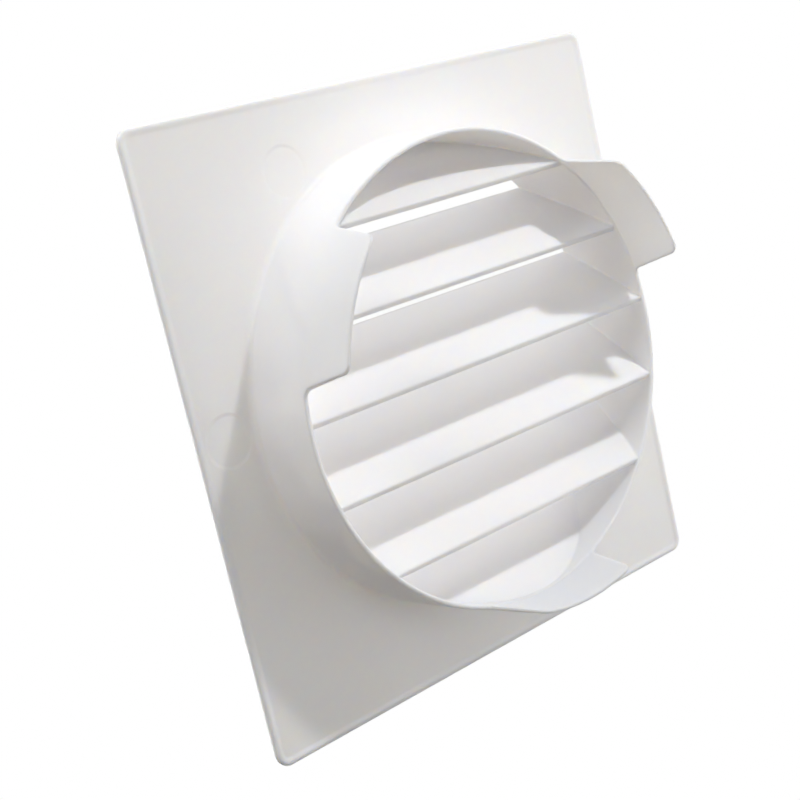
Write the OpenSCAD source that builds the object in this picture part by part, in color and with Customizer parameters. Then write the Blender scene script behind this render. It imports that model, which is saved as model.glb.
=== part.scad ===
// Square louvred vent grille with a round spigot that pushes into a duct, moulded in one piece.
// +Z is up, the spigot points along -Y into the wall, and the louvre blades run along X.
// The origin is the centre of the plate's wall side, where the spigot's axis crosses it.

/* [Face plate] */
// Side length of the square plate
plate_w = 190; // [175:1:230]
// Thickness of the plate inside its lip
plate_t = 2.9; // [2:0.1:4]
// Radius of the plate's corners
corner_r = 4.5; // [4:0.5:12]
// Width of the lip's flat top, which touches the wall
lip_w = 0.7; // [0.4:0.1:1.6]
// Height of the lip above the plate
lip_h = 0.4; // [0.2:0.1:0.8]
// Width of the slope from the lip's top down to the plate
lip_slope_w = 1.2; // [0.4:0.1:1.4]
// Radius of the lip's outer edge
lip_edge_r = 0.7; // [0.3:0.1:0.9]
// Radius that rounds the plate's sides off towards its front
front_edge_r = 2.5; // [0.5:0.1:2.8]

/* [Spigot] */
// Outer diameter of the spigot
spigot_d = 148; // [120:1:152]
// Wall thickness of the spigot
spigot_wall = 1.5; // [1.3:0.1:2.5]
// Height of the spigot's rim above the wall side
spigot_h = 25; // [18:0.5:40]
// Radius of the fillet round the spigot's foot
foot_r = 1.7; // [1:0.1:3]
// Radius of the rim's edges
rim_edge_r = 0.4; // [0.2:0.1:0.6]
// Radius of the opening's front edge
mouth_edge_r = 1; // [0.5:0.1:1.5]

/* [Tabs] */
// Number of tabs that carry the wall on into the duct
tab_count = 3; // [2:1:4]
// Direction of the first tab, turned from the right-hand side
tab_turn = 30; // [0:5:90]
// Reach of the tabs past the rim
tab_reach = 20; // [10:0.5:35]
// Angle that a tab spans at the rim
tab_root_span = 37.5; // [33:0.5:60]
// Angle that a tab spans at its end
tab_end_span = 30; // [15:0.5:32]
// Radius of a tab's end corners
tab_corner_r = 3; // [1:0.5:5]
// Radius of the fillets between a tab and the rim
tab_root_r = 3; // [1:0.5:5]
// Step at the rim by which a tab's inner side stands back from the wall's
tab_step = 0.35; // [0.2:0.05:0.6]
// Amount by which a tab's outer side draws in at its end, to lead it into the duct
tab_draw_in = 0.3; // [0.1:0.1:0.5]

/* [Louvres] */
// Number of blades
blade_count = 6; // [3:1:6]
// Height from one blade to the next
blade_pitch = 25.6; // [22:0.1:26]
// Height of the top blade's rim edge above the spigot's axis
blade_top = 55.4; // [45:0.1:58]
// Angle at which the blades rise from the rim to the plate's front
blade_angle = 34; // [20:1:36]
// Thickness of a blade
blade_t = 2; // [1.4:0.1:2.6]
// Distance that the blades stay behind the rim
blade_rim_gap = 0.4; // [0.2:0.1:3]
// Distance that the blades stay behind the plate's front
blade_front_gap = 0.4; // [0.2:0.1:1.5]
// Radius of a blade's long edges
blade_edge_r = 0.3; // [0.1:0.1:0.6]

/* [Hidden] */
$fn = 96;
overlap = 0.01;
spigot_r = spigot_d / 2;
bore_r = spigot_r - spigot_wall;
plate_back = -lip_h;
plate_front = plate_back - plate_t;
// The front rounding stops short of the lip's rounding on a thin plate
front_r = min(front_edge_r, plate_t + lip_h - lip_edge_r - overlap);
side_l = plate_w - 2 * corner_r;
tab_root_half = spigot_r * sin(tab_root_span / 2);
tab_end_half = spigot_r * sin(tab_end_span / 2);
tab_lean = atan((tab_root_half - tab_end_half) / tab_reach);
// Depth to which a tab's foot runs down into the wall
tab_foot = rim_edge_r + 1;
// Flats in each rounded corner of a tab
arc_steps = 8;
blade_z0 = plate_front + blade_front_gap;
blade_z1 = spigot_h - blade_rim_gap;
blade_l = (blade_z1 - blade_z0) / cos(blade_angle);
// The blades' ends run halfway into the spigot's wall
blade_seat_r = bore_r + spigot_wall / 2;

// Section through the plate's border, from the corner's centre out to the edge
module border_section() {
    polygon([
        [-overlap, plate_front],
        [corner_r - front_r, plate_front],
        [corner_r, plate_front + front_r],
        [corner_r, -lip_edge_r],
        [corner_r - lip_edge_r, 0],
        [corner_r - lip_edge_r - lip_w, 0],
        [corner_r - lip_edge_r - lip_w - lip_slope_w, plate_back],
        [-overlap, plate_back]
    ]);
    translate([corner_r - front_r, plate_front + front_r]) mirror([0, 1]) quarter_circle(front_r);
    translate([corner_r - lip_edge_r, -lip_edge_r]) quarter_circle(lip_edge_r);
}

module quarter_circle(r) {
    intersection() {
        circle(r);
        square(r);
    }
}

// Quarter of the border that turns round one corner
module border_corner() {
    rotate_extrude(angle = 90)
        intersection() {
            border_section();
            translate([0, plate_front]) square([corner_r, -plate_front]);
        }
}

// Straight length of the border along the right-hand side
module border_side() {
    translate([side_l / 2, side_l / 2, 0])
        rotate([90, 0, 0])
            linear_extrude(side_l) border_section();
}

module plate() {
    translate([-side_l / 2, -side_l / 2, plate_front]) cube([side_l, side_l, plate_t]);
    for (turn = [0, 90, 180, 270])
        rotate(turn) {
            border_side();
            translate([side_l / 2, side_l / 2, 0]) border_corner();
        }
}

// Wall of the spigot with its rounded rim, drawn as half a section
module spigot_section() {
    translate([bore_r, plate_front + overlap])
        square([spigot_wall, spigot_h - rim_edge_r - plate_front - overlap]);
    translate([bore_r + rim_edge_r, 0]) square([spigot_wall - 2 * rim_edge_r, spigot_h]);
    for (r = [bore_r + rim_edge_r, spigot_r - rim_edge_r])
        translate([r, spigot_h - rim_edge_r]) circle(rim_edge_r);
}

module foot_fillet() {
    rotate_extrude()
        difference() {
            translate([spigot_r - overlap, plate_back - overlap]) square(foot_r + overlap);
            translate([spigot_r + foot_r, plate_back + foot_r]) circle(foot_r);
        }
}

// Round opening through the plate with its front edge eased
module opening() {
    translate([0, 0, plate_front - 1]) cylinder(r = bore_r, h = plate_t + lip_h + 2);
    rotate_extrude()
        difference() {
            translate([bore_r - overlap, plate_front - 1]) square([mouth_edge_r + overlap, mouth_edge_r + 1]);
            translate([bore_r + mouth_edge_r, plate_front + mouth_edge_r]) circle(mouth_edge_r);
        }
}

// Points along an arc about c, from angle a0 to a1
function arc(c, r, a0, a1) = [
    for (i = [0 : arc_steps])
        c + r * [cos(a0 + (a1 - a0) * i / arc_steps), sin(a0 + (a1 - a0) * i / arc_steps)]
];

// Right-hand edge of a tab, from the rim at y = 0 up to its end
function tab_edge() =
    let (
        corner_x = tab_root_half
            - (tab_corner_r + (tab_reach - tab_corner_r) * sin(tab_lean)) / cos(tab_lean),
        root_x = tab_root_half + tab_root_r * (1 - sin(tab_lean)) / cos(tab_lean)
    )
    concat(
        arc([root_x, tab_root_r], tab_root_r, 270, 180 + tab_lean),
        arc([corner_x, tab_reach - tab_corner_r], tab_corner_r, tab_lean, 90)
    );

function mirrored(points) = [for (i = [len(points) - 1 : -1 : 0]) [-points[i].x, points[i].y]];

// Outline of a tab, flat, with a foot that goes down into the wall below the rim
module tab_outline() {
    edge = tab_edge();
    foot = [[edge[0].x, -tab_foot]];
    polygon(concat(foot, edge, mirrored(edge), mirrored(foot)));
}

// Tab that carries the spigot's wall on past the rim
module tab() {
    intersection() {
        rotate_extrude()
            polygon([
                [bore_r + tab_step, spigot_h - tab_foot],
                [spigot_r, spigot_h - tab_foot],
                [spigot_r, spigot_h - rim_edge_r / 2],
                [spigot_r - tab_draw_in, spigot_h + tab_reach],
                [bore_r + tab_step, spigot_h + tab_reach]
            ]);
        translate([0, 0, spigot_h])
            rotate([90, 0, 90])
                linear_extrude(spigot_r + 1) tab_outline();
    }
}

// Section of a blade, with height along x and depth along y. Its upper edge at the rim is at
// the origin, and from there it rises as it runs back, past the front, where it is cut off.
module blade_section() {
    r = blade_edge_r;
    rotate(blade_angle - 90)
        translate([0, -blade_t]) {
            translate([r, 0]) square([blade_l + blade_t - r, blade_t]);
            translate([0, r]) square([blade_l + blade_t, blade_t - 2 * r]);
            for (y = [r, blade_t - r]) translate([r, y]) circle(r);
        }
}

module blades() {
    intersection() {
        for (i = [0 : blade_count - 1])
            translate([-spigot_r, blade_top - i * blade_pitch, blade_z1])
                rotate([90, 0, 90])
                    linear_extrude(spigot_d) blade_section();
        translate([0, 0, blade_z0]) cylinder(r = blade_seat_r, h = blade_z1 - blade_z0);
    }
}

module grille() {
    color("white")
        rotate([90, 0, 0]) {
            difference() {
                union() {
                    plate();
                    foot_fillet();
                }
                opening();
            }
            difference() {
                rotate_extrude() spigot_section();
                opening();
            }
            for (i = [0 : tab_count - 1])
                rotate(tab_turn + i * 360 / tab_count) tab();
            blades();
        }
}

grille();
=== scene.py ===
import math
import bpy
from mathutils import Matrix, Vector

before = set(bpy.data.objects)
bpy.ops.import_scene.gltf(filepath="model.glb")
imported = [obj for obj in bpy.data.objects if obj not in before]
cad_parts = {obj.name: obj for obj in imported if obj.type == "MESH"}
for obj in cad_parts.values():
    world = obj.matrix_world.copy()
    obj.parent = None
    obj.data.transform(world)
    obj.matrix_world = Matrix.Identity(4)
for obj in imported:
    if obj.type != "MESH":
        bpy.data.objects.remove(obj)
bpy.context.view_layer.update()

# Camera
# A lens of about 70 mm looks at the wall side of the grille from half a metre away, from the left
# and a little above. It is rolled, so that the grille leans to the left in the picture.
LENS_MM = 70.6
SENSOR_MM = 36.0
CAMERA_PLACE = Vector((-0.3237, -0.3733, 0.0854))
CAMERA_TARGET = Vector((-0.0124, 0.0086, -0.0062))
CAMERA_ROLL = math.radians(13.18)
NEAREST_SEEN = 0.01
FARTHEST_SEEN = 50.0

camera = bpy.data.objects.new("camera", bpy.data.cameras.new("camera"))
camera.data.lens = LENS_MM
camera.data.sensor_width = SENSOR_MM
camera.data.clip_start = NEAREST_SEEN
camera.data.clip_end = FARTHEST_SEEN
bpy.context.scene.collection.objects.link(camera)
gaze = CAMERA_TARGET - CAMERA_PLACE
level = gaze.to_track_quat("-Z", "Y").to_matrix()
camera.matrix_world = (
    Matrix.Translation(CAMERA_PLACE)
    @ (level @ Matrix.Rotation(-CAMERA_ROLL, 3, "Z")).to_4x4()
)
bpy.context.scene.camera = camera

# Grille
# The whole grille is one injection moulding in white ABS: plate, spigot, tabs and louvre blades.
# It keeps the satin skin of its mould, lets a little light through its thin walls, and has two
# shallow round marks on its wall side, where pins pushed it out of the mould.
PLASTIC = "#F8F6F7"
PLASTIC_FLOW = "#F5F3F3"
ABS_IOR = 1.54
# How deep light goes into the plastic, and the share of that which red, green and blue go
GLOW_DEPTH = 0.0034
GLOW_COLOURS = (1.0, 0.88, 0.7)
FLOW_WIDTH = 0.045
FLOW_DETAIL = 3.0
POLISH_WIDTH = 0.018
POLISH_DETAIL = 2.0
# Nearly all of the noise lies between the first two, over which the roughness runs
NOISE_LOW = 0.3
NOISE_HIGH = 0.7
SMOOTHEST = 0.38
ROUGHEST = 0.5
EDGE_SOFTNESS = 0.0012
EDGE_SAMPLES = 4
GRAIN_WIDTH = 0.0007
GRAIN_DETAIL = 1.0
GRAIN_DEPTH = 0.000012
PIN_CIRCLE_R = 0.084
PIN_ANGLES = (120, 178)
PIN_R = 0.0078
PIN_EDGE = 0.0014
PIN_DEPTH = 0.0002
# Round the pins, only the plate's wall side lies nearer to the wall than this
BEHIND_WALL_SIDE = 0.0015


def linear(hex_colour):
    """The linear colour, with alpha, of an sRGB hex value."""
    def channel(text):
        value = int(text, 16) / 255
        return value / 12.92 if value <= 0.04045 else ((value + 0.055) / 1.055) ** 2.4
    return tuple(channel(hex_colour[i:i + 2]) for i in (1, 3, 5)) + (1.0,)


def add_node(tree, kind, settings=None, links=None):
    """Adds a node, sets its properties and unlinked sockets, and links its other sockets."""
    node = tree.nodes.new(kind)
    for name, value in (settings or {}).items():
        if isinstance(name, str) and hasattr(node, name):
            setattr(node, name, value)
        else:
            node.inputs[name].default_value = value
    for name, source in (links or {}).items():
        tree.links.new(source, node.inputs[name])
    return node


# White moulded ABS: an even, slightly warm white with a satin sheen, in which only slow changes
# of tone show, and which glows a little where a wall is thin and lit from behind
white_abs = bpy.data.materials.new("white moulded ABS")
white_abs.use_nodes = True
tree = white_abs.node_tree
tree.nodes.clear()
place = add_node(tree, "ShaderNodeTexCoord").outputs["Object"]

# Flow of the plastic in the mould, as tones that are hardly apart
flow = add_node(tree, "ShaderNodeTexNoise", {
    "Scale": 1 / FLOW_WIDTH, "Detail": FLOW_DETAIL,
}, {"Vector": place})
colour = add_node(tree, "ShaderNodeMix", {
    "data_type": "RGBA", 6: linear(PLASTIC_FLOW), 7: linear(PLASTIC),
}, {0: flow.outputs["Fac"]})

# The mould's polish differs a little from place to place
polish = add_node(tree, "ShaderNodeTexNoise", {
    "Scale": 1 / POLISH_WIDTH, "Detail": POLISH_DETAIL,
}, {"Vector": place})
roughness = add_node(tree, "ShaderNodeMapRange", {
    "From Min": NOISE_LOW, "From Max": NOISE_HIGH, "To Min": SMOOTHEST, "To Max": ROUGHEST,
}, {"Value": polish.outputs["Fac"]})

# The moulding's edges are eased, so their light runs softly from one side to the next
soft_edges = add_node(tree, "ShaderNodeBevel", {
    "samples": EDGE_SAMPLES, "Radius": EDGE_SOFTNESS,
})

# Sunk discs that the ejector pins left, on the wall side alone
axes = add_node(tree, "ShaderNodeSeparateXYZ", links={0: place})
on_plate = add_node(tree, "ShaderNodeCombineXYZ", links={
    "X": axes.outputs["X"], "Z": axes.outputs["Z"],
})
off_wall_side = add_node(tree, "ShaderNodeMath", {
    "operation": "GREATER_THAN", 1: BEHIND_WALL_SIDE,
}, {0: axes.outputs["Y"]})
outside_pins = []
for angle in PIN_ANGLES:
    turn = math.radians(angle)
    centre = (PIN_CIRCLE_R * math.cos(turn), 0.0, PIN_CIRCLE_R * math.sin(turn))
    from_centre = add_node(tree, "ShaderNodeVectorMath", {
        "operation": "DISTANCE", 1: centre,
    }, {0: on_plate.outputs[0]})
    outside_pins.append(add_node(tree, "ShaderNodeMapRange", {
        "interpolation_type": "SMOOTHSTEP",
        "From Min": PIN_R - PIN_EDGE / 2, "From Max": PIN_R + PIN_EDGE / 2,
    }, {"Value": from_centre.outputs["Value"]}))
outside_both = add_node(tree, "ShaderNodeMath", {"operation": "MINIMUM"}, {
    0: outside_pins[0].outputs[0], 1: outside_pins[1].outputs[0],
})
skin_height = add_node(tree, "ShaderNodeMath", {"operation": "MAXIMUM"}, {
    0: outside_both.outputs[0], 1: off_wall_side.outputs[0],
})
pin_bump = add_node(tree, "ShaderNodeBump", {"Strength": 1.0, "Distance": PIN_DEPTH}, {
    "Height": skin_height.outputs[0], "Normal": soft_edges.outputs["Normal"],
})

# The mould's satin grain is finer than a tenth of a millimetre, so it is drawn coarser to show
grain = add_node(tree, "ShaderNodeTexNoise", {
    "Scale": 1 / GRAIN_WIDTH, "Detail": GRAIN_DETAIL,
}, {"Vector": place})
grain_bump = add_node(tree, "ShaderNodeBump", {"Strength": 1.0, "Distance": GRAIN_DEPTH}, {
    "Height": grain.outputs["Fac"], "Normal": pin_bump.outputs["Normal"],
})
plastic = add_node(tree, "ShaderNodeBsdfPrincipled", {
    "IOR": ABS_IOR, "Subsurface Weight": 1.0,
    "Subsurface Radius": GLOW_COLOURS, "Subsurface Scale": GLOW_DEPTH,
}, {
    "Base Color": colour.outputs[2], "Roughness": roughness.outputs[0],
    "Normal": grain_bump.outputs["Normal"],
})
add_node(tree, "ShaderNodeOutputMaterial", links={"Surface": plastic.outputs[0]})

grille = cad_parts["grille"]
grille.data.materials.clear()
grille.data.materials.append(white_abs)

# Floor
# A plain pale floor lies well below the grille, which hangs as it would on its wall. Under the
# grille it is lit paint, which takes its faint shadow, and further out it fades into white.
FLOOR_DROP = 0.6
FLOOR_HALF = 6.0
# Distances from the point under the grille, between which the paint fades
FADE_FROM = 0.35
FADE_TO = 0.68
FLOOR_SEEN = "#E6E6E6"
FLOOR_GLOW = 0.4
FLOOR_LIT = "#6A6A6A"
WHITE_LEVEL = 1.0

mesh = bpy.data.meshes.new("studio_floor")
mesh.from_pydata([
    (-FLOOR_HALF, -FLOOR_HALF, -FLOOR_DROP), (FLOOR_HALF, -FLOOR_HALF, -FLOOR_DROP),
    (FLOOR_HALF, FLOOR_HALF, -FLOOR_DROP), (-FLOOR_HALF, FLOOR_HALF, -FLOOR_DROP),
], [], [(0, 1, 2, 3)])
floor = bpy.data.objects.new("studio_floor", mesh)
bpy.context.scene.collection.objects.link(floor)


def looked_at(tree):
    """1 for rays that come from the camera, a gloss or a glass, and 0 for those that only light."""
    ray = add_node(tree, "ShaderNodeLightPath")
    mirrored = add_node(tree, "ShaderNodeMath", {"operation": "MAXIMUM"}, {
        0: ray.outputs["Is Glossy Ray"], 1: ray.outputs["Is Transmission Ray"],
    })
    seen = add_node(tree, "ShaderNodeMath", {"operation": "MAXIMUM"}, {
        0: ray.outputs["Is Camera Ray"], 1: mirrored.outputs[0],
    })
    return seen.outputs[0]


# Pale floor paint: matt, without grain, white to the eye and duller to the light it sends back
paint = bpy.data.materials.new("pale floor paint")
paint.use_nodes = True
tree = paint.node_tree
tree.nodes.clear()
place = add_node(tree, "ShaderNodeTexCoord").outputs["Object"]
from_middle = add_node(tree, "ShaderNodeVectorMath", {
    "operation": "DISTANCE", 1: (0.0, 0.0, -FLOOR_DROP),
}, {0: place})
fade = add_node(tree, "ShaderNodeMapRange", {
    "interpolation_type": "SMOOTHSTEP", "From Min": FADE_FROM, "From Max": FADE_TO,
}, {"Value": from_middle.outputs["Value"]})
matt = add_node(tree, "ShaderNodeBsdfDiffuse", {"Color": linear(FLOOR_SEEN)})
glow = add_node(tree, "ShaderNodeEmission", {"Strength": FLOOR_GLOW})
lit = add_node(tree, "ShaderNodeAddShader", links={0: matt.outputs[0], 1: glow.outputs[0]})
white = add_node(tree, "ShaderNodeEmission", {"Strength": WHITE_LEVEL})
bright = add_node(tree, "ShaderNodeMixShader", links={
    0: fade.outputs[0], 1: lit.outputs[0], 2: white.outputs[0],
})
dull = add_node(tree, "ShaderNodeBsdfDiffuse", {"Color": linear(FLOOR_LIT)})
floor_shader = add_node(tree, "ShaderNodeMixShader", links={
    0: looked_at(tree), 1: dull.outputs[0], 2: bright.outputs[0],
})
add_node(tree, "ShaderNodeOutputMaterial", links={"Surface": floor_shader.outputs[0]})
mesh.materials.append(paint)

# Light
# A small key lamp stands up to the right on the wall side and throws the sharp shadows of the
# blades and the spigot. Soft boxes fill from the upper left, the right, the front and the wall.


def soft_box(name, where, size, watts):
    """A square area lamp at a place, turned to the grille."""
    lamp = bpy.data.lights.new(name, "AREA")
    lamp.energy = watts
    lamp.size = size
    box = bpy.data.objects.new(name, lamp)
    box.location = where
    box.rotation_euler = Vector(where).to_track_quat("Z", "Y").to_euler()
    bpy.context.scene.collection.objects.link(box)


soft_box("key", (0.33, -0.46, 0.72), 0.06, watts=3.8)
soft_box("upper left", (-0.6, 0.1, 0.8), 0.6, watts=4.2)
soft_box("upper left wall side", (-0.62, -0.18, 0.74), 0.4, watts=1.7)
soft_box("right", (1.188, 0.119, 0.119), 1.2, watts=5.8)
soft_box("front", (0.12, 0.844, -0.35), 1.2, watts=10.0)
soft_box("wall side", (0.0, -1.0, 0.0), 0.6, watts=1.65)
soft_box("near right", (0.45, -0.42, -0.05), 0.3, watts=0.35)
soft_box("near low right", (0.4, -0.25, -0.3), 0.3, watts=0.27)

# The air gives a little even light, and behind everything the eye sees plain white
WHITE = (1.0, 1.0, 1.0, 1.0)
WORLD_STRENGTH = 0.16
BACKDROP_STRENGTH = 1.0
world = bpy.data.worlds.new("studio")
bpy.context.scene.world = world
world.use_nodes = True
tree = world.node_tree
tree.nodes.clear()
air = add_node(tree, "ShaderNodeBackground", {"Color": WHITE, "Strength": WORLD_STRENGTH})
backdrop = add_node(tree, "ShaderNodeBackground", {"Color": WHITE, "Strength": BACKDROP_STRENGTH})
surroundings = add_node(tree, "ShaderNodeMixShader", links={
    0: looked_at(tree), 1: air.outputs[0], 2: backdrop.outputs[0],
})
add_node(tree, "ShaderNodeOutputWorld", links={"Surface": surroundings.outputs[0]})

bpy.context.scene.view_settings.view_transform = "Standard"
